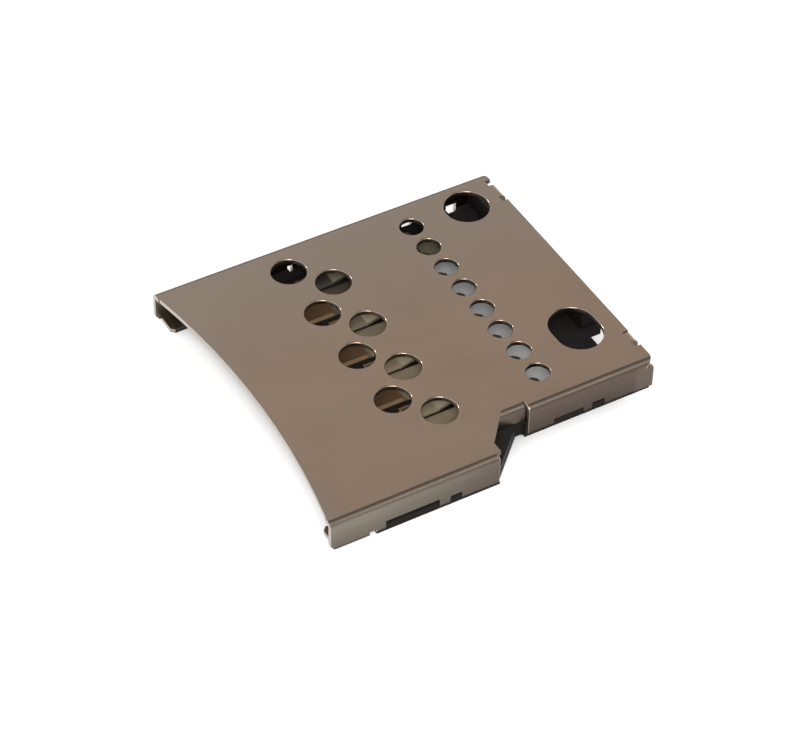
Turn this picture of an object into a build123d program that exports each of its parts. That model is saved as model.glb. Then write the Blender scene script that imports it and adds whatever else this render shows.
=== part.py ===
from build123d import *
import os

os.makedirs("parts", exist_ok=True)

# Memory card connector: a folded metal shell over a moulded base with eight spring contacts.
# All sizes are in millimetres. +X is the side with the step, the card goes in along +Y, and +Z is up.
# The origin is at the middle of the footprint, on the plane that the solder tails share.

# Shell
shell_depth = 12.15
shell_height = 1.15
sheet = 0.15
bend_radius = 0.22
mouth_depth = 0.57
step_width = 1.33
front_wall_length = 5.78
step_length = 1.79
foot_width = 0.89
foot_length = 1.12
foot_inset = 0.18
foot_bend_radius = 0.2
foot_chamfer = 0.12
toe_height = 0.24
relief_length = 0.25
relief_height = 0.2
corner_radius = 0.3
corner_depth = 0.3
rear_setback = 0.08
rim_radius = 0.04
end_radius = 0.07

# Step in the plate, with the tab that is folded down from it
step_lead = 0.115
step_corner = 0.64
step_slope = 1.09
step_rise = 0.925
tab_length = 0.72
tab_bottom = 0.58
tab_setback = 0.165
tab_lead = 0.2

# Cut-outs in the bottom edges of the side walls
long_slot_start = 1.85
long_slot_length = 1.83
long_slot_height = 0.4
notch_start = 4.05
notch_length = 0.4
notch_height = 0.35
nick_start = 4.75
nick_length = 0.25
nick_height = 0.12
rear_nick_start = 0.45
rear_nick_length = 0.3
rear_slot_start = 0.93
rear_slot_length = 1.06
rear_slot_height = 0.3
rear_notch_start = 2.3
rear_notch_length = 0.45
vent_length = 0.38
vent_height = 0.42
vent_gap = 4.31
vent_spacing = 1.67
vent_shift = 0.05
small_vent_length = 0.18
small_vent_height = 0.33

# Hooks folded down at the rear edge
hook_length = 0.61
hook_drop = 0.62
hook_relief = 0.25
hook_relief_depth = 0.2
left_hook_inset = 0.66
right_hook_inset = 1.03
right_hook_length = 0.42
hook_step = 0.05

# Contacts
contact_count = 8
contact_pitch = 1.1
contact_margin = 1.2
step_margin = 1.27
contact_sheet = 0.1
contact_bend = 0.1
tail_length = 0.75
tail_width = 0.5
wide_run_length = 2.6
wide_run_left = 0.72
wide_run_right = 0.5
narrow_run_length = 1.05
narrow_run_left = 0.4
narrow_run_right = 0.27
narrow_beam_lead = 0.5
coined_width = 0.12
coined_drop = 0.04
beam_length = 2.5
beam_width = 0.5
tip_width = 0.26
tip_length = 0.22
tip_height = 0.87
tip_drop = 0.2
tip_setback = 0.15
tip_from_rear = 3.5
joggle = 0.15

# Windows in the plate
run_hole_diameter = 1.15
near_row_distance = 3.47
far_row_distance = 4.47
tip_hole_diameter = 0.78
round_window_diameter = 1.49
window_distance = 2.06
slot_window_width = 1.53
slot_window_length = 1.94
slot_window_pitches = 6

# Moulded base
floor_thickness = 0.25
wall_gap = 0.03
lip_height = 0.08
lip_inset = 0.015
side_gap = 0.02
rear_wall_thickness = 0.6
rear_wall_gap = 0.02
lead_in = 0.14
tail_window_width = 0.74
tail_window_margin = 0.1
tip_opening_length = 1.2
tip_opening_lead = 0.1
tip_opening_margin = 0.3
run_recess_depth = 0.08
run_recess_margin = 0.15
pocket_depth = 0.15
pocket_clearance = 0.09
vent_recess = 0.32
drain_width = 0.75
drain_length = 0.5
drain_shift = 0.05
wall_gap_width = 1.3
ledge_width = 0.46
ledge_height = 0.54
ledge_recess_length = 0.25
ledge_recess_radius = 0.08
ledge_nose_length = 0.1
ledge_foot_gap = 0.02
slope_foot_inset = 0.12

# Card-detect switch
switch_pitch_shift = 0.34
terminal_width = 0.4
terminal_pad_length = 0.85
terminal_pad_width = 0.8
terminal_tail_length = 0.5
terminal_inset = 0.2
terminal_shift = 0.6
switch_spring_width = 0.36
switch_spring_height = 0.72
switch_spring_reach = 1.7
switch_tail_length = 0.5

# Derived places: the shell is as wide as its row of contacts, the margins beside them and the step
shell_width = contact_margin + (contact_count - 1) * contact_pitch + step_margin + step_width
left_x = -shell_width / 2
right_x = shell_width / 2
front_y = -shell_depth / 2
rear_y = shell_depth / 2
step_x = right_x - step_width
plate_bottom = shell_height - sheet
plate_middle = shell_height - sheet / 2
plate_rear = rear_y - rear_setback
front_wall_end = front_y + front_wall_length
rear_wall_start = front_wall_end + step_length
flat_left = left_x + bend_radius
flat_right = right_x - bend_radius
flat_step = step_x - bend_radius
foot_start = front_y + foot_inset
foot_end = foot_start + foot_length
first_contact = left_x + contact_margin
contact_places = [first_contact + index * contact_pitch for index in range(contact_count)]
tip_y = rear_y - tip_from_rear
row_places = [
    tip_y - (far_row_distance if index % 2 == 0 else near_row_distance)
    for index in range(contact_count)
]
window_y = tip_y + window_distance
slot_window_x = first_contact + slot_window_pitches * contact_pitch

# The plate's edge at the step: out of the front wall, across the slope, and along to the tab
slope_end_x = right_x - step_corner - step_slope
slope_start_y = front_wall_end + step_lead
slope_end_y = slope_start_y + step_rise
tab_x = step_x - tab_setback

# Shell: the plate, its folded walls, feet, tab and hooks are one sheet
with BuildPart() as shell:
    with BuildSketch(Plane.XY.offset(plate_bottom)):
        with BuildLine():
            ThreePointArc((flat_left, front_y), (0, front_y + mouth_depth), (flat_right, front_y))
            Polyline(
                (flat_right, front_y),
                (flat_right, slope_start_y),
                (right_x - step_corner, slope_start_y),
                (slope_end_x, slope_end_y),
                (tab_x - bend_radius, slope_end_y),
                (tab_x - bend_radius, rear_wall_start),
                (flat_step, rear_wall_start),
                (flat_step, plate_rear),
                (flat_left, plate_rear),
                (flat_left, front_y),
            )
        make_face()
        # Windows over the contacts' flat runs, over their tips and at the rear
        with Locations(*zip(contact_places, row_places)):
            Circle(run_hole_diameter / 2, mode=Mode.SUBTRACT)
        with Locations(*[(x, tip_y) for x in contact_places]):
            Circle(tip_hole_diameter / 2, mode=Mode.SUBTRACT)
        with Locations((first_contact, window_y)):
            Circle(round_window_diameter / 2, mode=Mode.SUBTRACT)
        with Locations((slot_window_x, window_y)):
            SlotOverall(slot_window_length, slot_window_width, mode=Mode.SUBTRACT)
    extrude(amount=sheet)
    fillet(
        shell.faces().sort_by(Axis.Z)[-1].inner_wires().edges(),
        radius=rim_radius,
    )

    # Side walls and tab: the bend and the straight part, along each edge
    for side, face_x, start_y, end_y, bottom in (
        (-1, left_x, front_y, plate_rear, lip_height),
        (1, right_x, front_y, front_wall_end, lip_height),
        (1, step_x, rear_wall_start, plate_rear, lip_height),
        (1, tab_x, slope_end_y - tab_lead, slope_end_y + tab_length, tab_bottom),
    ):
        with BuildSketch(Plane.XZ.offset(-end_y)):
            with BuildLine():
                FilletPolyline(
                    (face_x - side * (bend_radius + sheet), plate_middle),
                    (face_x - side * sheet / 2, plate_middle),
                    (face_x - side * sheet / 2, bottom),
                    radius=bend_radius - sheet / 2,
                )
            trace(line_width=sheet)
        extrude(amount=end_y - start_y)

    # Rolled edges at the walls' ends beside the step
    for end_y in (front_wall_end, rear_wall_start):
        ends = shell.edges().filter_by(Axis.Z).filter_by_position(Axis.Y, end_y - sheet, end_y + sheet)
        fillet(ends.sort_by(Axis.X)[-1:], radius=end_radius)

    # Feet: the front of each outer wall is folded inwards again as a solder foot
    for side in (-1, 1):
        with BuildSketch(Plane.XZ.offset(-foot_end)):
            with BuildLine():
                FilletPolyline(
                    (side * (right_x - sheet / 2), toe_height),
                    (side * (right_x - sheet / 2), sheet / 2),
                    (side * (right_x - foot_width), sheet / 2),
                    radius=foot_bend_radius - sheet / 2,
                )
            trace(line_width=sheet)
        extrude(amount=foot_length)
        with BuildSketch(Plane.XY):
            with BuildLine():
                Polyline(
                    (side * (right_x - foot_width), foot_start),
                    (side * (right_x - foot_width + foot_chamfer), foot_start),
                    (side * (right_x - foot_width), foot_start + foot_chamfer),
                    close=True,
                )
            make_face()
        extrude(amount=sheet, mode=Mode.SUBTRACT)

    # Slanted toes at the front ends of the walls, and the reliefs behind the feet
    with BuildSketch(Plane.YZ.offset(left_x)):
        with BuildLine():
            Polyline((front_y, toe_height), (front_y, 0), (foot_start, 0), close=True)
        make_face()
        with Locations((foot_end, 0)):
            Rectangle(relief_length, relief_height, align=(Align.MIN, Align.MIN))
    extrude(amount=shell_width, mode=Mode.SUBTRACT)

    # Cut-outs in the bottom edges of the walls: face, start, length, top
    right_cuts = [
        (right_x, front_y + long_slot_start, long_slot_length, long_slot_height),
        (right_x, front_y + notch_start, notch_length, notch_height),
        (right_x, front_y + nick_start, nick_length, nick_height),
        (step_x, rear_wall_start + rear_nick_start, rear_nick_length, nick_height),
        (step_x, rear_wall_start + rear_slot_start, rear_slot_length, rear_slot_height),
        (step_x, rear_wall_start + rear_notch_start, rear_notch_length, notch_height),
    ]
    vents = [
        (window_y + vent_shift, vent_length, vent_height),
        (window_y + vent_shift - vent_spacing, vent_length, small_vent_height),
        (window_y + vent_shift - vent_spacing - vent_gap, small_vent_length, small_vent_height),
    ]
    left_cuts = [(left_x + sheet, place - length / 2, length, top) for place, length, top in vents]
    left_cuts.append((left_x + sheet, front_y + long_slot_start, long_slot_length, long_slot_height))
    for face_x, start_y, length, top in right_cuts + left_cuts:
        with BuildSketch(Plane.YZ.offset(face_x)):
            with Locations((start_y, 0)):
                Rectangle(length, top, align=(Align.MIN, Align.MIN))
        extrude(amount=-sheet, mode=Mode.SUBTRACT)

    # Rear corners rounded in plan, down to the walls' straight part
    for corner_x, inward in ((left_x, 1), (step_x, -1)):
        centre = (corner_x + inward * corner_radius, plate_rear - corner_radius)
        with BuildSketch(Plane.XY.offset(shell_height)):
            with Locations(((corner_x + centre[0]) / 2, (plate_rear + centre[1]) / 2)):
                Rectangle(corner_radius, corner_radius)
            with Locations(centre):
                Circle(corner_radius, mode=Mode.SUBTRACT)
        extrude(amount=-corner_depth, mode=Mode.SUBTRACT)

    # Reliefs and hooks at the rear edge
    left_hook = left_x + left_hook_inset
    right_hook = step_x - right_hook_inset - right_hook_length
    for hook_x, length, before in (
        (left_hook, hook_length, hook_relief),
        (right_hook, right_hook_length, hook_step),
    ):
        with BuildSketch(Plane.XY.offset(plate_bottom)):
            with Locations((hook_x - before, plate_rear)):
                Rectangle(
                    before + length + hook_relief,
                    hook_relief_depth,
                    align=(Align.MIN, Align.MAX),
                )
        extrude(amount=sheet, mode=Mode.SUBTRACT)
        with BuildSketch(Plane.YZ.offset(hook_x)):
            with BuildLine():
                FilletPolyline(
                    (plate_rear - hook_relief_depth - sheet, plate_middle),
                    (rear_y - sheet / 2, plate_middle),
                    (rear_y - sheet / 2, plate_middle - hook_drop),
                    radius=bend_radius - sheet / 2,
                )
            trace(line_width=sheet)
        extrude(amount=length)

# Contacts: tail, joggle, flat run in the floor's top, tapered beam and curled tip.
# Every second contact has the wide run; the tails of all eight end in one row.
run_z = floor_thickness - contact_sheet / 2
beam_start = tip_y - beam_length
beam_starts = [beam_start - (0 if index % 2 else narrow_beam_lead) for index in range(contact_count)]
tail_start = beam_start - wide_run_length - joggle - tail_length
tip_top = tip_y - tip_setback
tip_end = tip_top + tip_length
contacts = []
for index, place_x in enumerate(contact_places):
    wide = index % 2 == 1
    run_left = place_x - (wide_run_left if wide else narrow_run_left)
    run_right = place_x + (wide_run_right if wide else narrow_run_right)
    run_end = beam_starts[index]
    run_width = run_right - run_left
    run_start = run_end - (wide_run_length if wide else narrow_run_length)
    with BuildPart() as contact:
        with BuildSketch(Plane.YZ.offset(run_left)):
            with BuildLine():
                FilletPolyline(
                    (tail_start, contact_sheet / 2),
                    (run_start - joggle, contact_sheet / 2),
                    (run_start, run_z),
                    (run_end, run_z),
                    (tip_top, tip_height - contact_sheet / 2),
                    (tip_end, tip_height - tip_drop),
                    radius=contact_bend,
                )
            trace(line_width=contact_sheet)
        extrude(amount=run_width)
        with BuildSketch(Plane.XY):
            with Locations((place_x, tail_start)):
                Rectangle(tail_width, run_start - tail_start, align=(Align.CENTER, Align.MIN))
            with Locations((run_left, run_start)):
                Rectangle(run_width, run_end - run_start, align=(Align.MIN, Align.MIN))
            with BuildLine():
                Polyline(
                    (place_x - beam_width / 2, run_end),
                    (place_x + beam_width / 2, run_end),
                    (place_x + tip_width / 2, tip_end + contact_sheet),
                    (place_x - tip_width / 2, tip_end + contact_sheet),
                    close=True,
                )
            make_face()
        extrude(amount=shell_height, mode=Mode.INTERSECT)
        # Coined slopes along both upper edges of the flat run
        with BuildSketch(Plane.XZ.offset(-run_end)):
            for side, edge_x in ((-1, run_left), (1, run_right)):
                with BuildLine():
                    Polyline(
                        (edge_x, floor_thickness),
                        (edge_x - side * coined_width, floor_thickness),
                        (edge_x, floor_thickness - coined_drop),
                        close=True,
                    )
                make_face()
        extrude(amount=run_end - run_start, mode=Mode.SUBTRACT)
    contact.part.label = f"contact_{index + 1}"
    contacts.append(contact.part)

# Switch terminal: a pad at the floor's top near the second contact's tip, with its tail to the left
pad_x = first_contact + switch_pitch_shift
pad_y = tip_y + terminal_shift
with BuildPart() as detect_terminal:
    terminal_x = left_x + sheet + terminal_inset
    with BuildSketch(Plane.XZ.offset(-pad_y - terminal_width / 2)):
        with BuildLine():
            FilletPolyline(
                (terminal_x, contact_sheet / 2),
                (terminal_x + terminal_tail_length, contact_sheet / 2),
                (terminal_x + terminal_tail_length + joggle, run_z),
                (pad_x + terminal_pad_width / 2, run_z),
                radius=contact_bend,
            )
        trace(line_width=contact_sheet)
    extrude(amount=terminal_width)
    with BuildSketch(Plane.XY.offset(floor_thickness)):
        with Locations((pad_x, pad_y)):
            Rectangle(terminal_pad_width, terminal_pad_length)
    extrude(amount=-contact_sheet)

# Switch spring: rooted under the rear wall, with its free end over the pad
rear_wall_back = rear_y - sheet - wall_gap
rear_wall_face = rear_wall_back - rear_wall_thickness
with BuildPart() as detect_spring:
    with BuildSketch(Plane.YZ.offset(pad_x - switch_spring_width / 2)):
        with BuildLine():
            FilletPolyline(
                (rear_wall_back, contact_sheet / 2),
                (rear_wall_back - switch_tail_length, contact_sheet / 2),
                (rear_wall_back - switch_tail_length - joggle, run_z),
                (rear_wall_face - joggle * 2, run_z),
                (rear_wall_face - switch_spring_reach, switch_spring_height),
                (rear_wall_face - switch_spring_reach - tip_length, switch_spring_height - tip_drop),
                radius=contact_bend,
            )
        trace(line_width=contact_sheet)
    extrude(amount=switch_spring_width)

# Moulded base
inner_left = left_x + sheet + wall_gap
inner_right = right_x - sheet - wall_gap
inner_step = step_x - sheet - wall_gap
base_front = foot_end + relief_length
tip_opening_start = tip_y - tip_opening_lead
wall_top = plate_bottom - rear_wall_gap
with BuildPart() as housing:
    # Floor, with its sloping edge at the step and a rounded recess under the tab
    slope_foot = (right_x - slope_foot_inset, front_wall_end + ledge_foot_gap)
    nose_corner = (step_x - lip_inset, rear_wall_start - ledge_nose_length)
    recess_end = nose_corner[1]
    with BuildSketch():
        with BuildLine():
            FilletPolyline(
                slope_foot,
                (tab_x, recess_end - ledge_recess_length),
                (tab_x, recess_end),
                nose_corner,
                radius=ledge_recess_radius,
            )
            Polyline(
                nose_corner,
                (nose_corner[0], rear_wall_start - side_gap),
                (inner_step, rear_wall_start - side_gap),
                (inner_step, rear_wall_back),
                (inner_left, rear_wall_back),
                (inner_left, base_front),
                (inner_right, base_front),
                (inner_right, slope_foot[1]),
                slope_foot,
            )
        make_face()
    extrude(amount=floor_thickness)

    # Lips under the walls
    for edge_x, outer_x, start_y, end_y in (
        (inner_left, left_x + lip_inset, base_front, rear_wall_back),
        (right_x - lip_inset, inner_right, base_front, front_wall_end),
        (step_x - lip_inset, inner_step, rear_wall_start, rear_wall_back),
    ):
        with BuildSketch():
            with Locations(((edge_x + outer_x) / 2, start_y)):
                Rectangle(abs(edge_x - outer_x), end_y - start_y, align=(Align.CENTER, Align.MIN))
        extrude(amount=lip_height)

    # Lugs that fill the lower part of the walls' cut-outs
    for face_x, start_y, length, top in right_cuts + left_cuts[-1:]:
        side = 1 if face_x > 0 else -1
        outer_x = face_x - side * lip_inset if side > 0 else left_x + lip_inset
        root_x = outer_x - side * sheet
        with BuildSketch():
            with Locations(((outer_x + root_x) / 2, start_y + side_gap)):
                Rectangle(sheet, length - side_gap * 2, align=(Align.CENTER, Align.MIN))
        extrude(amount=min(floor_thickness, top - side_gap))

    # Rear wall, with a gap under the slotted window, and the ledge that fills the step
    with BuildSketch(Plane.XY.offset(floor_thickness)):
        with Locations((inner_left, rear_wall_back)):
            Rectangle(inner_step - inner_left, rear_wall_thickness, align=(Align.MIN, Align.MAX))
        with Locations((slot_window_x, rear_wall_back)):
            Rectangle(
                wall_gap_width,
                rear_wall_thickness,
                align=(Align.CENTER, Align.MAX),
                mode=Mode.SUBTRACT,
            )
    extrude(amount=wall_top - floor_thickness)
    with BuildSketch(Plane.XY.offset(floor_thickness)):
        with BuildLine():
            FilletPolyline(
                slope_foot,
                (tab_x, recess_end - ledge_recess_length),
                (tab_x, recess_end),
                nose_corner,
                radius=ledge_recess_radius,
            )
            Polyline(
                nose_corner,
                (nose_corner[0], rear_wall_start - side_gap),
                (inner_step - ledge_width, rear_wall_start - side_gap),
                (inner_step - ledge_width, slope_end_y - ledge_width),
                (inner_right - ledge_width, slope_foot[1]),
                slope_foot,
            )
        make_face()
    extrude(amount=ledge_height - floor_thickness)

    # Card lead-in along the floor's front edge
    chamfer(
        housing.edges().filter_by(Axis.X).group_by(Axis.Y)[0].sort_by(Axis.Z)[-1:],
        length=lead_in,
    )

    # Windows under the tails and one opening under the tips
    with BuildSketch():
        tail_window = tail_length + tail_window_margin * 2
        for place_x in contact_places:
            with Locations((place_x, tail_start - tail_window_margin)):
                Rectangle(tail_window_width, tail_window, align=(Align.CENTER, Align.MIN))
        opening_start = contact_places[1] - tip_opening_margin
        opening_end = contact_places[-1] + tip_opening_margin
        with Locations((opening_start, tip_opening_start)):
            Rectangle(
                opening_end - opening_start,
                tip_opening_length,
                align=(Align.MIN, Align.MIN),
            )
    extrude(amount=floor_thickness, mode=Mode.SUBTRACT)

    # Shallow recess around the flat runs, and blind pockets that the beams spring into
    with BuildSketch(Plane.XY.offset(floor_thickness)):
        recess_start = beam_start - wide_run_length - run_recess_margin
        recess_left = contact_places[0] - narrow_run_left - run_recess_margin
        recess_right = contact_places[-1] + wide_run_right + run_recess_margin
        with Locations((recess_left, recess_start)):
            Rectangle(
                recess_right - recess_left,
                beam_start - recess_start,
                align=(Align.MIN, Align.MIN),
            )
    extrude(amount=-run_recess_depth, mode=Mode.SUBTRACT)
    with BuildSketch(Plane.XY.offset(floor_thickness)):
        for place_x, pocket_start in zip(contact_places, beam_starts):
            with Locations((place_x, pocket_start)):
                Rectangle(
                    beam_width + pocket_clearance * 2,
                    tip_end + pocket_clearance - pocket_start,
                    align=(Align.CENTER, Align.MIN),
                )
    extrude(amount=-pocket_depth, mode=Mode.SUBTRACT)

    # Recesses behind the first and the last vent in the left wall
    with BuildSketch():
        for place, length, top in vents[::2]:
            with Locations((left_x, place)):
                Rectangle(vent_recess * 2, length)
    extrude(amount=floor_thickness, mode=Mode.SUBTRACT)

    # Notch in the floor's rear edge at the gap in the rear wall
    with BuildSketch():
        with Locations((slot_window_x - drain_shift, rear_wall_back)):
            Rectangle(drain_width, drain_length, align=(Align.CENTER, Align.MAX))
    extrude(amount=floor_thickness, mode=Mode.SUBTRACT)

    # The metal pieces are moulded in, so the base takes their exact shape
    for piece in contacts + [detect_terminal.part, detect_spring.part]:
        add(piece, mode=Mode.SUBTRACT)

shell.part.label = "shell"
housing.part.label = "housing"
detect_terminal.part.label = "detect_terminal"
detect_spring.part.label = "detect_spring"

for piece in [shell.part, housing.part, detect_terminal.part, detect_spring.part] + contacts:
    export_step(piece, f"parts/{piece.label}.step")
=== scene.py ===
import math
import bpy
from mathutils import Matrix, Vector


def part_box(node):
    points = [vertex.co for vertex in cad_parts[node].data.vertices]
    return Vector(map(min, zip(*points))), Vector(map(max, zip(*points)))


bl_info = {
    "name": "Card connector dressing",
    "version": (1, 0, 0),
    "blender": (4, 5, 0),
    "location": "View3D > Sidebar > Connector",
    "description": "Dresses the packed card connector and lays out its stage",
    "category": "Object",
}

import bpy
from mathutils import Quaternion, Vector

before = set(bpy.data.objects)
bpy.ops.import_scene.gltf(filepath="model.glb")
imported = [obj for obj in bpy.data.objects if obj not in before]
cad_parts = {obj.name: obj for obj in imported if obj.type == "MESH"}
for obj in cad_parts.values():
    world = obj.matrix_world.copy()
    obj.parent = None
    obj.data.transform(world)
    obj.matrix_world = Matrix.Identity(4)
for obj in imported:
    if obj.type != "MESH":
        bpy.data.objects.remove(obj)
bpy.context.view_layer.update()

CONTACTS = sorted(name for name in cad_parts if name.startswith("contact_"))
SWITCH = ["detect_spring", "detect_terminal"]
MILLIMETRES = 1000.0

# Heights and places that the finishes follow, in millimetres, read from the frame
SHELL_LOW, SHELL_HIGH = (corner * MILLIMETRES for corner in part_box("shell"))
PLATE_TOP = SHELL_HIGH.z
TIP_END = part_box(CONTACTS[0])[1].y * MILLIMETRES

# The faces are told apart by one part of their normal. Each tone starts at the first
# value of that part and is full at the second.
SHELL_BEND = (0.04, 0.22)
SHELL_STRAIGHT = (0.05, 0.2)
SHELL_WALL = (0.7, 0.9)
SHELL_SHEARED = (0.6, 0.9)
RIM_SIDE = (0.2, 0.45)
RIM_TOP = (0.2, 0.5)
BASE_LEVEL = (0.3, 0.8)
SLOPE_START = (0.1, 0.2)
SLOPE_STEEPEST = (0.5, 0.8)
RISE_START = (0.08, 0.16)
RISE_STEEPEST = (0.5, 0.8)

# How much faster a pattern changes along each axis, which draws it out along the others
TINT_STRETCH = (0.9, 1.3, 1.0)
STREAK_STRETCH = (1.0, 0.8, 5.0)
FLOW_STRETCH = (0.6, 2.2, 1.0)
DRAWN_STRETCH = (30.0, 2.0, 8.0)
GRAIN_ALONG = 0.6

# Patterns per millimetre that the looks don't hold
STREAK_SCALE = 1.2
FLOW_SCALE = 1.4
STRIP_CLOUD_SCALE = 3.0

# Where the plate's tones start and are full: a value of the patches' noise, and x in millimetres
ROSY_RANGE = (0.42, 0.62)
PALE_RANGE = (1.0, SHELL_LOW.x * 0.8)

# Past this y, in millimetres, the walls have their far tone, a darker painted shade
FAR_WALL_Y = SHELL_HIGH.y * 0.35

# The other side of each soft border, as a share of the length that the look holds
HOOK_REACH_BORDER = 0.8
HOOK_SIDE_BORDER = 1.5
BRINK_BORDER = 1.6
TIP_BORDER = 0.7
TAIL_BORDER = 1.5

# The middle of a noise's values, and how much of the strip's bump is grain and not specks
NOISE_MIDDLE = 0.5
GRAIN_SHARE = 0.6

# How far noise moves the roughness
SPECK_ROUGHNESS = 0.12
GRAIN_ROUGHNESS = 0.1
PLASTIC_ROUGHNESS = 0.2
DRAWN_ROUGHNESS = 0.2

# The switch's plating is duller than the contacts', and gets neither the painted shade towards the
# left nor the painted shade on the tips
SWITCH_LOOK = {
    "deep_colour": (0.20, 0.18, 0.11),
    "bright_colour": (0.36, 0.33, 0.22),
    "shade_to": -5.4,
    "tip_shade_depth": 0.0,
}


class Signal:
    """A socket of a node tree. Python's operators on it add the maths nodes."""

    def __init__(self, finish, socket):
        self.finish = finish
        self.socket = socket

    def _math(self, operation, *values):
        return self.finish.node("ShaderNodeMath", {"operation": operation}, dict(enumerate(values)))

    def __add__(self, other):
        return self._math("ADD", self, other)

    def __sub__(self, other):
        return self._math("SUBTRACT", self, other)

    def __rsub__(self, other):
        return self._math("SUBTRACT", other, self)

    def __mul__(self, other):
        return self._math("MULTIPLY", self, other)

    def __abs__(self):
        return self._math("ABSOLUTE", self)

    __radd__ = __add__
    __rmul__ = __mul__

    def clamped(self):
        """The value kept between 0 and 1."""
        return self._math("MINIMUM", self._math("MAXIMUM", self, 0.0), 1.0)


class Finish:
    """A material's or a world's node tree, with one way to add a node."""

    def __init__(self, name, tree=None):
        if tree is None:
            self.material = bpy.data.materials.new(name)
            self.material.use_nodes = True
            tree = self.material.node_tree
        self.tree = tree
        self.tree.nodes.clear()

    def node(self, kind, settings=None, inputs=None, output=0):
        """Adds a node, sets its settings, then fills its sockets, and gives one output."""
        made = self.tree.nodes.new(kind)
        for name, value in (settings or {}).items():
            setattr(made, name, value)
        for name, value in (inputs or {}).items():
            if isinstance(value, Signal):
                self.tree.links.new(value.socket, made.inputs[name])
            else:
                made.inputs[name].default_value = value
        return Signal(self, made.outputs[output]) if made.outputs else None

    def place(self):
        """The surface's place in the frame, in millimetres."""
        metres = self.node("ShaderNodeTexCoord", output="Object")
        return self.node(
            "ShaderNodeVectorMath",
            {"operation": "SCALE"},
            {"Vector": metres, "Scale": MILLIMETRES},
        )

    def facing(self):
        """The normal's parts: sideways, lengthways and upwards."""
        return self.axes(self.node("ShaderNodeNewGeometry", output="Normal"))

    def axes(self, vector):
        """The three parts of a vector."""
        first = self.node("ShaderNodeSeparateXYZ", None, {"Vector": vector})
        return [Signal(self, socket) for socket in first.socket.node.outputs]

    def stretched(self, vector, scale):
        """A vector scaled differently along each axis, so that a grain runs one way."""
        return self.node(
            "ShaderNodeVectorMath",
            {"operation": "MULTIPLY"},
            {0: vector, 1: scale},
        )

    def noise(self, vector, scale, detail=3.0, roughness=0.55):
        """A cloudy value around a half."""
        return self.node(
            "ShaderNodeTexNoise",
            None,
            {"Vector": vector, "Scale": scale, "Detail": detail, "Roughness": roughness},
        )

    def mix(self, factor, first, second):
        """Blends two colours."""
        return self.node(
            "ShaderNodeMix",
            {"data_type": "RGBA"},
            {0: factor, 6: first, 7: second},
            output=2,
        )

    def smooth_step(self, value, start, full):
        """0 at start and before it, 1 at full and past it. Full may be the smaller one."""
        return self.node(
            "ShaderNodeMapRange",
            {"interpolation_type": "SMOOTHSTEP"},
            {"Value": value, "From Min": start, "From Max": full},
        )

    def bump(self, height, distance, strength):
        """A normal that is tilted by a height."""
        return self.node(
            "ShaderNodeBump",
            None,
            {"Height": height, "Distance": distance, "Strength": strength},
        )

    def surface(self, **sockets):
        """Ends the tree in one Principled shader."""
        shader = self.node(
            "ShaderNodeBsdfPrincipled",
            None,
            {name.replace("_", " "): value for name, value in sockets.items()},
        )
        self.node("ShaderNodeOutputMaterial", None, {"Surface": shader})
        return self.material


def opaque(colour):
    """A colour property as the four numbers that a socket takes."""
    return (*colour[:3], 1.0)


def dress(names, material):
    """Gives CAD nodes one finish."""
    for name in names:
        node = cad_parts[name]
        node.data.materials.clear()
        node.data.materials.append(material)


def plate_tones(finish, look, place, grain):
    """The plate's colour: clouds and grain, rosy patches, and a painted reflection that makes the
    left side and the mouth paler and greyer.
    """
    x, y = finish.axes(place)[:2]
    cloud = finish.noise(place, look.cloud_scale, detail=4.0, roughness=0.6)
    patches = finish.noise(finish.stretched(place, TINT_STRETCH), look.tint_scale, detail=2.0)
    swing = (cloud - NOISE_MIDDLE) * look.cloud_depth + (grain - NOISE_MIDDLE) * look.grain_depth
    tone = swing + NOISE_MIDDLE
    plate = finish.mix(tone.clamped(), opaque(look.dark_colour), opaque(look.light_colour))
    rosy = finish.smooth_step(patches, *ROSY_RANGE) * look.tint_depth
    plate = finish.mix(rosy, plate, opaque(look.rosy_colour))
    # Painted reflection: the strip is paler and greyer towards the left side and along the mouth
    mouth = finish.smooth_step(y, SHELL_LOW.y + look.mouth_width, SHELL_LOW.y)
    pale = (finish.smooth_step(x, *PALE_RANGE) + mouth).clamped() * look.pale_reflection_depth
    return finish.mix(pale, plate, opaque(look.pale_reflection_colour))


def painted_wall_tones(finish, look, place):
    """The walls' colour, painted light and shade: lighter near the mouth, darker at the rear and
    towards the board, streaked, and with a dark painted brink.
    """
    y, z = finish.axes(place)[1:]
    streak = finish.noise(
        finish.stretched(place, STREAK_STRETCH), STREAK_SCALE, detail=4.0, roughness=0.65
    )
    # Painted light and shade: the walls are lighter near the mouth and darker at the rear
    nearness = finish.smooth_step(y, FAR_WALL_Y, SHELL_LOW.y)
    wall = finish.mix(nearness, opaque(look.far_wall_shade_colour), opaque(look.near_wall_light_colour))
    # Painted shade: the walls darken towards the board, broken up by streaks
    depth = finish.smooth_step(z, PLATE_TOP, SHELL_LOW.z) * look.wall_fade
    depth = depth + (streak - NOISE_MIDDLE) * look.streak_depth
    wall = finish.mix(depth.clamped(), wall, opaque(look.low_wall_shade_colour))
    # Painted shade: a dark band along the walls' lowest edge
    brink_start = SHELL_LOW.z + look.brink_height * BRINK_BORDER
    brink = finish.smooth_step(z, brink_start, SHELL_LOW.z + look.brink_height)
    return finish.mix(brink, wall, opaque(look.brink_shade_colour))


def hook_zone(finish, look, place):
    """1 near the rear edge, where the hooks are, except on the outermost walls."""
    x, y = finish.axes(place)[:2]
    reach = finish.smooth_step(
        y,
        SHELL_HIGH.y - look.hook_reach,
        SHELL_HIGH.y - look.hook_reach * HOOK_REACH_BORDER,
    )
    inset = finish.smooth_step(
        abs(x),
        SHELL_HIGH.x - look.hook_inset,
        SHELL_HIGH.x - look.hook_inset * HOOK_SIDE_BORDER,
    )
    return reach * inset


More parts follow.
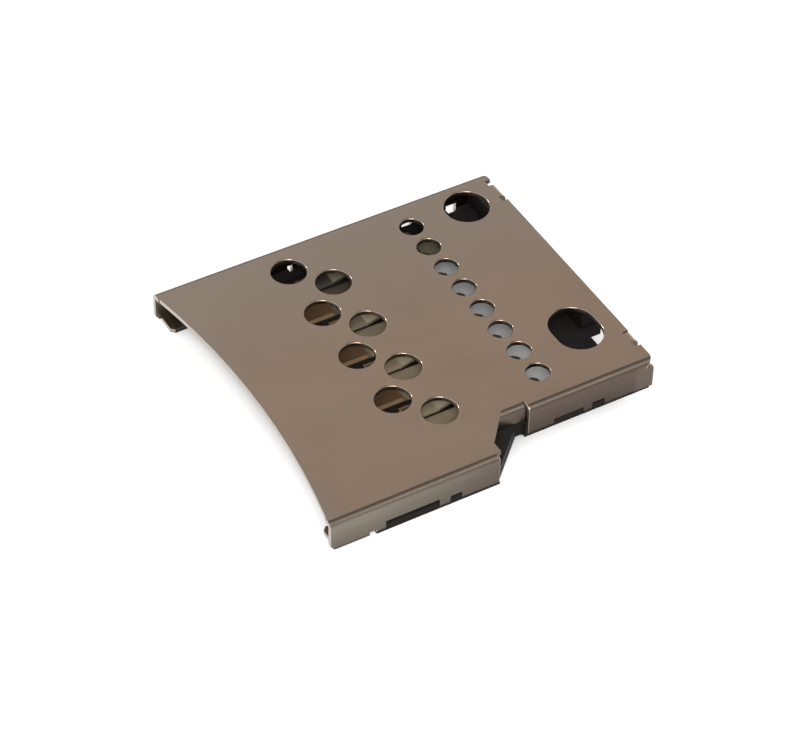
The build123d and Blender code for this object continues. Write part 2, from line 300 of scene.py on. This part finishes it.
def shell_finish(look):
    """Rolled strip: warm grey and satin, with painted shade on the folded walls and the bends, and
    bare sheared edges that also carry a painted highlight.
    """
    finish = Finish("rolled_strip")
    place = finish.place()
    stretch = (look.grain_scale, GRAIN_ALONG, look.grain_scale)
    grain = finish.noise(finish.stretched(place, stretch), 1.0, detail=2.0)
    speck = finish.noise(place, look.speck_scale, detail=2.0)
    plate = plate_tones(finish, look, place, grain)

    # Walls face sideways, sheared ends face lengthways, and the bends lie between wall and plate;
    # walls and bends get painted shade, sheared ends a painted highlight
    sideways, lengthways, upwards = finish.facing()
    straight = 1.0 - finish.smooth_step(abs(lengthways), *SHELL_STRAIGHT)
    # Painted shade: the bends get a dark tone in place of their highlight
    bend = finish.smooth_step(abs(sideways), *SHELL_BEND) * straight * look.bend_shade_depth
    plate = finish.mix(bend, plate, opaque(look.bend_shade_colour))
    # Sideways faces take the walls' painted light and shade in place of the plate's tone, except on
    # the hooks
    hooks = hook_zone(finish, look, place) * look.hook_depth
    wall = finish.smooth_step(abs(sideways), *SHELL_WALL) * (1.0 - hooks)
    colour = finish.mix(wall, plate, painted_wall_tones(finish, look, place))
    # Faces along the length are bare sheared metal, with a paler colour that is partly a painted
    # highlight
    sheared = finish.smooth_step(abs(lengthways), *SHELL_SHEARED) * look.sheared_metal_highlight_depth
    colour = finish.mix(sheared, colour, opaque(look.sheared_metal_highlight_colour))

    # The windows' rounded rims are polished
    rim = finish.smooth_step(abs(lengthways), *RIM_SIDE) * finish.smooth_step(upwards, *RIM_TOP)
    specks = (speck - NOISE_MIDDLE) * SPECK_ROUGHNESS
    roughness = specks + (grain - NOISE_MIDDLE) * GRAIN_ROUGHNESS + look.roughness
    roughness = (1.0 - rim) * roughness + rim * look.rim_roughness
    height = grain * GRAIN_SHARE + speck * (1.0 - GRAIN_SHARE)
    return finish.surface(
        Base_Color=colour,
        Metallic=look.metallic,
        Roughness=roughness,
        Normal=finish.bump(height, look.grain_height / MILLIMETRES, strength=0.6),
    )


def base_finish(look):
    """Moulded black plastic with a fine eroded grain, faint flow marks, and painted shade on upright
    faces.
    """
    finish = Finish("moulded_black")
    place = finish.place()
    flow = finish.noise(finish.stretched(place, FLOW_STRETCH), FLOW_SCALE, detail=4.0, roughness=0.6)
    grain = finish.noise(place, look.grain_scale)
    colour = finish.mix(flow, opaque(look.deep_colour), opaque(look.flow_colour))
    # Painted shade: upright faces are darker than level ones
    upwards = finish.facing()[2]
    level = finish.smooth_step(abs(upwards), *BASE_LEVEL)
    colour = finish.mix(level, opaque(look.side_shade_colour), colour)
    return finish.surface(
        Base_Color=colour,
        Roughness=(grain - NOISE_MIDDLE) * PLASTIC_ROUGHNESS + look.roughness,
        Specular_IOR_Level=0.03,
        Normal=finish.bump(grain, look.grain_height / MILLIMETRES, strength=0.7),
    )


def contact_finish(name, look):
    """Spring strip: brown alloy towards the mouth, pale plating behind it and on the tails, painted
    shade towards the left and on the tips, and painted highlights on coined slopes and rising beams.
    """
    finish = Finish(name)
    place = finish.place()
    x, y, z = finish.axes(place)
    drawn = finish.noise(finish.stretched(place, DRAWN_STRETCH), 1.0)
    cloud = finish.noise(place, STRIP_CLOUD_SCALE)
    tail = finish.smooth_step(z, look.tail_height * TAIL_BORDER, look.tail_height)
    plating = finish.mix(cloud, opaque(look.deep_colour), opaque(look.bright_colour))
    lit = (finish.smooth_step(x, look.shade_from, look.shade_to) + tail).clamped()
    plating = finish.mix(lit, opaque(look.shade_colour), plating)
    alloy = finish.mix(cloud, opaque(look.alloy_deep), opaque(look.alloy_bright))
    border = (cloud - NOISE_MIDDLE) * look.border_waver + y
    blend = look.border_blend
    plated = finish.smooth_step(border, look.border - blend, look.border + blend)
    plated = (plated + tail).clamped()
    colour = finish.mix(plated, alloy, plating)

    # Coined slopes lean sideways and rising beams lean lengthways, and both get a lighter colour, a
    # painted highlight
    sideways, lengthways, _ = finish.facing()
    slope = finish.smooth_step(abs(sideways), *SLOPE_START)
    slope = slope * (1.0 - finish.smooth_step(abs(sideways), *SLOPE_STEEPEST))
    slope = slope * (1.0 - finish.smooth_step(y, look.slope_end - blend, look.slope_end))
    colour = finish.mix(slope * look.slope_highlight_depth, colour, opaque(look.slope_highlight_colour))
    rising = finish.smooth_step(abs(lengthways), *RISE_START)
    rising = rising * (1.0 - finish.smooth_step(abs(lengthways), *RISE_STEEPEST))
    colour = finish.mix(rising * look.rise_highlight_depth, colour, opaque(look.rise_highlight_colour))

    # The tips get a dark painted shade
    tip_shade_mask = finish.smooth_step(y, TIP_END - look.tip_length, TIP_END - look.tip_length * TIP_BORDER)
    colour = finish.mix(tip_shade_mask * look.tip_shade_depth, colour, opaque(look.tip_shade_colour))
    return finish.surface(
        Base_Color=colour,
        Metallic=look.metallic,
        Roughness=(drawn - NOISE_MIDDLE) * DRAWN_ROUGHNESS + look.roughness,
        Normal=finish.bump(drawn, look.grain_height / MILLIMETRES, strength=0.5),
    )


def tint(name, description, default):
    """A colour that a user can change."""
    return bpy.props.FloatVectorProperty(
        name=name, description=description, subtype="COLOR", default=default
    )


def share(name, description, default):
    """A value from 0 to 1 that a user can change."""
    return bpy.props.FloatProperty(
        name=name, description=description, subtype="FACTOR", min=0.0, max=1.0, default=default
    )


def number(name, description, default):
    """A number that a user can change, in the unit that its description gives."""
    return bpy.props.FloatProperty(name=name, description=description, default=default)


def spot(name, description, default):
    """A place in the frame that a user can change, in metres."""
    return bpy.props.FloatVectorProperty(
        name=name, description=description, subtype="XYZ", unit="LENGTH", precision=5, default=default
    )


def length(name, description, default):
    """A length that a user can change, in metres."""
    return bpy.props.FloatProperty(
        name=name, description=description, subtype="DISTANCE", unit="LENGTH", default=default
    )


def power(name, description, default):
    """A lamp's power that a user can change, in watts."""
    return bpy.props.FloatProperty(name=name, description=description, unit="POWER", default=default)


class ShellLook(bpy.types.PropertyGroup):
    """Sizes and colours of the shell's strip."""

    dark_colour: tint("Dark tone", "Strip colour in the darker clouds", (0.365, 0.262, 0.186))
    light_colour: tint("Light tone", "Strip colour in the lighter clouds", (0.450, 0.328, 0.240))
    rosy_colour: tint("Rosy tone", "Tint of the warmer patches", (0.440, 0.300, 0.232))
    # Painted light and shade on the walls: lighter near the mouth, darker at the rear and near the
    # board
    near_wall_light_colour: tint("Near wall", "Walls near the mouth", (0.224, 0.200, 0.162))
    far_wall_shade_colour: tint("Far wall", "Walls at the rear", (0.119, 0.090, 0.075))
    low_wall_shade_colour: tint("Low wall", "Walls near the board", (0.080, 0.059, 0.047))
    # Painted shade along the walls' lowest edge
    brink_shade_colour: tint("Brink", "Lowest edge of the walls", (0.034, 0.027, 0.022))
    brink_height: number("Brink height", "Height of that edge, mm", 0.1)
    # Bare metal at the sheared ends, partly a painted highlight
    sheared_metal_highlight_colour: tint("Sheared edge", "Bare metal at sheared ends", (0.47, 0.45, 0.41))
    sheared_metal_highlight_depth: share("Sheared", "Strength of the bare ends", 0.85)
    # Painted reflection: a paler, greyer strip on the left and at the mouth
    pale_reflection_colour: tint("Pale tone", "Greyer strip on the left and at the mouth", (0.385, 0.308, 0.247))
    pale_reflection_depth: share("Pale depth", "Strength of the pale tone", 0.9)
    mouth_width: number("Mouth width", "Pale strip at the mouth, mm", 0.9)
    # Painted shade along the bends
    bend_shade_colour: tint("Bend", "Stretched metal in the bends", (0.138, 0.109, 0.086))
    bend_shade_depth: share("Bend depth", "Strength of the bend tone", 1.0)
    tint_scale: number("Tint scale", "Rosy patches per mm", 0.8)
    tint_depth: share("Tint depth", "Strength of the rosy tone", 0.35)
    hook_reach: number("Hook reach", "Length of the hook zone, mm", 0.8)
    hook_inset: number("Hook inset", "Its distance from the walls, mm", 0.2)
    hook_depth: share("Hook depth", "How much hooks keep the plate's tone", 0.8)
    # Painted shade: how far the walls darken towards the board
    wall_fade: share("Wall fade", "How far the walls darken towards the board", 0.5)
    streak_depth: share("Streaks", "Strength of the streaks on the walls", 0.5)
    metallic: share("Metallic", "Share of metal", 1.0)
    roughness: share("Roughness", "Mean roughness", 0.38)
    rim_roughness: share("Rim", "Roughness of the windows' rims", 0.1)
    cloud_scale: number("Cloud scale", "Clouds per mm", 0.35)
    cloud_depth: number("Cloud depth", "Strength of the clouds", 1.2)
    grain_scale: number("Grain scale", "Grain lines per mm", 14.0)
    grain_depth: share("Grain depth", "Strength of the grain", 0.35)
    grain_height: number("Grain height", "Grain height, mm", 0.002)
    speck_scale: number("Speck scale", "Specks per mm", 22.0)


class BaseLook(bpy.types.PropertyGroup):
    """Sizes and colours of the moulded base."""

    deep_colour: tint("Deep tone", "Plastic colour", (0.019, 0.0185, 0.017))
    # Painted shade on upright faces
    side_shade_colour: tint("Side tone", "Plastic on upright faces", (0.018, 0.015, 0.0135))
    flow_colour: tint("Flow tone", "Colour of the flow marks", (0.027, 0.0245, 0.0225))
    roughness: share("Roughness", "Mean roughness", 0.5)
    grain_scale: number("Grain scale", "Grains per mm", 9.0)
    grain_height: number("Grain height", "Grain height, mm", 0.002)


class PlatingLook(bpy.types.PropertyGroup):
    """Sizes and colours of plated strip."""

    deep_colour: tint("Deep tone", "Darker plating", (0.37, 0.295, 0.19))
    bright_colour: tint("Bright tone", "Brighter plating", (0.49, 0.40, 0.27))
    metallic: share("Metallic", "Share of metal", 0.25)
    roughness: share("Roughness", "Mean roughness", 0.62)
    alloy_deep: tint("Alloy, deep", "Darker bare alloy", (0.091, 0.046, 0.018))
    alloy_bright: tint("Alloy, bright", "Brighter bare alloy", (0.155, 0.083, 0.034))
    # Painted highlights on coined slopes and rising beams
    slope_highlight_colour: tint("Slope", "Coined edges", (0.34, 0.22, 0.115))
    slope_highlight_depth: share("Slope depth", "Strength of the slope tone", 0.8)
    slope_end: number("Slope end", "Where the slope tone ends, mm", -1.05)
    rise_highlight_colour: tint("Rise", "Rising beams", (0.66, 0.58, 0.42))
    rise_highlight_depth: share("Rise depth", "Strength of the rise tone", 0.5)
    # Painted shade on the tips
    tip_shade_colour: tint("Tip", "Rubbed tip", (0.05, 0.042, 0.033))
    tip_length: number("Tip length", "Rubbed length, mm", 0.5)
    tip_shade_depth: share("Tip depth", "Strength of the tip tone", 1.0)
    shade_colour: tint("Shade", "Plating towards the left", (0.06, 0.055, 0.05))
    shade_from: number("Shade from", "Where it is darkest, mm", -5.5)
    shade_to: number("Shade to", "Where it ends, mm", -0.5)
    border: number("Border", "Where the plating starts, mm", -1.0)
    border_blend: number("Border blend", "Half the border's width, mm", 0.15)
    border_waver: number("Border waver", "How far the border wanders, mm", 0.2)
    tail_height: number("Tail height", "Plated tails below this, mm", 0.11)
    grain_height: number("Grain height", "Grain height, mm", 0.0015)


class StageLook(bpy.types.PropertyGroup):
    """Camera, lamps, room and floor."""

    camera_place: spot("Camera", "Camera's place", (0.0597522, -0.0359940, 0.0661612))
    camera_target: spot("Target", "Point at the picture's centre", (0.0008938, -0.0009792, 0.00115))
    camera_roll: bpy.props.FloatProperty(
        name="Roll", description="Camera's roll", subtype="ANGLE", default=math.radians(1.24)
    )
    focal_length: bpy.props.FloatProperty(
        name="Focal length", description="Lens, in mm", unit="CAMERA", default=139.2025
    )
    floor_colour: tint("Floor", "Floor colour", (0.9, 0.9, 0.9))
    floor_lift: number("Floor lift", "Height above the underside, off its plane, mm", 0.002)
    floor_reach: length("Floor reach", "Half the floor's width", 1.5)
    # The floor's glow is painted light over its shade around the part
    floor_glow: share("Floor glow", "White seen by the camera", 0.3)
    glow_from: number("Glow from", "Depth under the part where it starts to fade, mm", 0.4)
    glow_full: number("Glow to", "Depth under the part where it is gone, mm", 1.6)
    world_strength: number("World", "Strength of the room's light", 0.8)
    dark_way: bpy.props.FloatVectorProperty(
        name="Dark way",
        description="Direction of a dark patch in the room",
        subtype="XYZ",
        default=(-0.35, 0.37, 0.86),
    )
    dark_from: share("Dark from", "Nearness where it darkens", 0.93)
    dark_full: share("Dark full", "Nearness where it is darkest", 0.985)
    dark_depth: share("Dark depth", "How dark the patch is", 0.8)
    fill_place: spot("Fill place", "Where the fill lamp stands", (0.10, -0.06, 0.11))
    fill_size: length("Fill size", "The fill lamp's width", 0.07)
    fill_power: power("Fill power", "The fill lamp's power", 0.11)
    flank_place: spot("Flank place", "Where the flank lamp stands", (0.09, 0.055, 0.11))
    flank_size: length("Flank size", "The flank lamp's width", 0.05)
    flank_power: power("Flank power", "The flank lamp's power", 0.03)
    glint_place: spot("Glint place", "Where the rims' glint lamp stands", (-0.117, -0.068, 0.065))
    glint_size: length("Glint size", "The glint lamp's width", 0.03)
    glint_power: power("Glint power", "The glint lamp's power", 0.045)


class ConnectorLook(bpy.types.PropertyGroup):
    """Everything that a user would change."""

    shell: bpy.props.PointerProperty(
        type=ShellLook, name="Shell", description="The shell's finish"
    )
    base: bpy.props.PointerProperty(type=BaseLook, name="Base", description="The base's finish")
    contacts: bpy.props.PointerProperty(
        type=PlatingLook, name="Contacts", description="The contacts' finish"
    )
    switch: bpy.props.PointerProperty(
        type=PlatingLook, name="Switch", description="The card-detect switch's finish"
    )
    stage: bpy.props.PointerProperty(
        type=StageLook, name="Stage", description="Camera, lamps, room and floor"
    )


class ConnectorDressShell(bpy.types.Operator):
    """Gives the folded shell its rolled strip finish"""

    bl_idname = "connector.dress_shell"
    bl_label = "Dress shell"

    def execute(self, context):
        dress(["shell"], shell_finish(context.scene.connector.shell))
        return {"FINISHED"}


class ConnectorDressBase(bpy.types.Operator):
    """Gives the moulded base its black plastic"""

    bl_idname = "connector.dress_base"
    bl_label = "Dress base"

    def execute(self, context):
        dress(["housing"], base_finish(context.scene.connector.base))
        return {"FINISHED"}


class ConnectorDressContacts(bpy.types.Operator):
    """Gives the contacts their bare alloy, plating, and painted shade on the tips"""

    bl_idname = "connector.dress_contacts"
    bl_label = "Dress contacts"

    def execute(self, context):
        dress(CONTACTS, contact_finish("gold_plate", context.scene.connector.contacts))
        return {"FINISHED"}


class ConnectorDressSwitch(bpy.types.Operator):
    """Gives the card-detect switch its duller plating"""

    bl_idname = "connector.dress_switch"
    bl_label = "Dress switch"

    def execute(self, context):
        look = context.scene.connector.switch
        for name, value in SWITCH_LOOK.items():
            setattr(look, name, value)
        dress(SWITCH, contact_finish("dull_plate", look))
        return {"FINISHED"}


def area_lamp(name, place, size, energy):
    """A soft square lamp aimed at the frame's origin."""
    lamp = bpy.data.lights.new(name, "AREA")
    lamp.size = size
    lamp.energy = energy
    holder = bpy.data.objects.new(name, lamp)
    holder.location = place
    holder.rotation_mode = "QUATERNION"
    holder.rotation_quaternion = (-Vector(place)).to_track_quat("-Z", "Y")
    bpy.context.scene.collection.objects.link(holder)


def seen_white(finish):
    """1 for the rays that should find the white background."""
    path = finish.node("ShaderNodeLightPath", output="Is Camera Ray")
    rays = path.socket.node.outputs
    total = path + Signal(finish, rays["Is Glossy Ray"]) + Signal(finish, rays["Is Transmission Ray"])
    return total.clamped()


class ConnectorLayStage(bpy.types.Operator):
    """Lays the floor, the lamps, the surroundings and the camera"""

    bl_idname = "connector.lay_stage"
    bl_label = "Lay stage"

    def execute(self, context):
        look = context.scene.connector.stage
        scene = context.scene
        scene.view_settings.view_transform = "Standard"
        self.floor(look)
        self.surroundings(scene, look)
        area_lamp("fill_lamp", look.fill_place, look.fill_size, look.fill_power)
        area_lamp("flank_lamp", look.flank_place, look.flank_size, look.flank_power)
        area_lamp("glint_lamp", look.glint_place, look.glint_size, look.glint_power)
        self.camera(scene, look)
        return {"FINISHED"}

    def floor(self, look):
        """A white floor that glows around the part and can be seen through from beneath. The glow is
        painted light that whitens the floor's shade around the part and fades out under it.
        """
        mesh = bpy.data.meshes.new("floor")
        reach = look.floor_reach
        corners = [(-reach, -reach, 0), (reach, -reach, 0), (reach, reach, 0), (-reach, reach, 0)]
        mesh.from_pydata(corners, [], [(0, 1, 2, 3)])
        floor = bpy.data.objects.new("floor", mesh)
        floor.location.z = (SHELL_LOW.z + look.floor_lift) / MILLIMETRES
        bpy.context.scene.collection.objects.link(floor)
        finish = Finish("floor_white")
        x, y = finish.axes(finish.place())[:2]
        # Painted light: the glow whitens the floor's shade around the part and fades out under it,
        # where the shade stays
        covered = 1.0
        for across, half_width in ((x, SHELL_HIGH.x), (y, SHELL_HIGH.y)):
            covered = covered * finish.smooth_step(
                abs(across), half_width - look.glow_from, half_width - look.glow_full
            )
        shown = (1.0 - covered) * seen_white(finish)
        glow = finish.mix(shown, (0, 0, 0, 1), (look.floor_glow,) * 3 + (1,))
        beneath = finish.node("ShaderNodeNewGeometry", output="Backfacing")
        mesh.materials.append(
            finish.surface(
                Base_Color=opaque(look.floor_colour),
                Roughness=0.9,
                Specular_IOR_Level=0.0,
                Emission_Color=glow,
                Emission_Strength=1.0,
                Alpha=1.0 - beneath,
            )
        )

    def surroundings(self, scene, look):
        """A white room, with one dark patch that the camera doesn't see."""
        world = bpy.data.worlds.new("surroundings")
        scene.world = world
        world.use_nodes = True
        finish = Finish("surroundings", world.node_tree)
        way = finish.node("ShaderNodeTexCoord", output="Generated")
        east, north, up = finish.axes(way)
        nearness = east * look.dark_way[0] + north * look.dark_way[1] + up * look.dark_way[2]
        patch = finish.smooth_step(nearness, look.dark_from, look.dark_full)
        room = look.world_strength * (1.0 - patch * look.dark_depth)
        path = finish.node("ShaderNodeLightPath", output="Is Camera Ray")
        strength = (1.0 - path) * room + path
        sky = finish.node("ShaderNodeBackground", None, {"Color": (1, 1, 1, 1), "Strength": strength})
        finish.node("ShaderNodeOutputWorld", None, {"Surface": sky})

    def camera(self, scene, look):
        """The camera, with the photograph's view of the part."""
        data = bpy.data.cameras.new("camera")
        data.lens = look.focal_length
        data.clip_start = 0.001
        data.clip_end = 10.0
        camera = bpy.data.objects.new("camera", data)
        camera.location = look.camera_place
        camera.rotation_mode = "QUATERNION"
        aim = (Vector(look.camera_target) - Vector(look.camera_place)).to_track_quat("-Z", "Y")
        camera.rotation_quaternion = aim @ Quaternion((0, 0, 1), look.camera_roll)
        scene.collection.objects.link(camera)
        scene.camera = camera


STEPS = (
    ConnectorDressShell,
    ConnectorDressBase,
    ConnectorDressContacts,
    ConnectorDressSwitch,
    ConnectorLayStage,
)


class VIEW3D_PT_connector(bpy.types.Panel):
    """Lists the dressing steps in the sidebar"""

    bl_label = "Connector"
    bl_idname = "VIEW3D_PT_connector"
    bl_space_type = "VIEW_3D"
    bl_region_type = "UI"
    bl_category = "Connector"

    def draw(self, context):
        for step in STEPS:
            self.layout.operator(step.bl_idname)


CLASSES = (
    ShellLook,
    BaseLook,
    PlatingLook,
    StageLook,
    ConnectorLook,
    *STEPS,
    VIEW3D_PT_connector,
)


def register():
    for each in CLASSES:
        bpy.utils.register_class(each)
    bpy.types.Scene.connector = bpy.props.PointerProperty(type=ConnectorLook)


def unregister():
    del bpy.types.Scene.connector
    for each in reversed(CLASSES):
        bpy.utils.unregister_class(each)


def main():
    register()
    bpy.ops.connector.dress_shell()
    bpy.ops.connector.dress_base()
    bpy.ops.connector.dress_contacts()
    bpy.ops.connector.dress_switch()
    bpy.ops.connector.lay_stage()


if __name__ == "__main__":
    main()
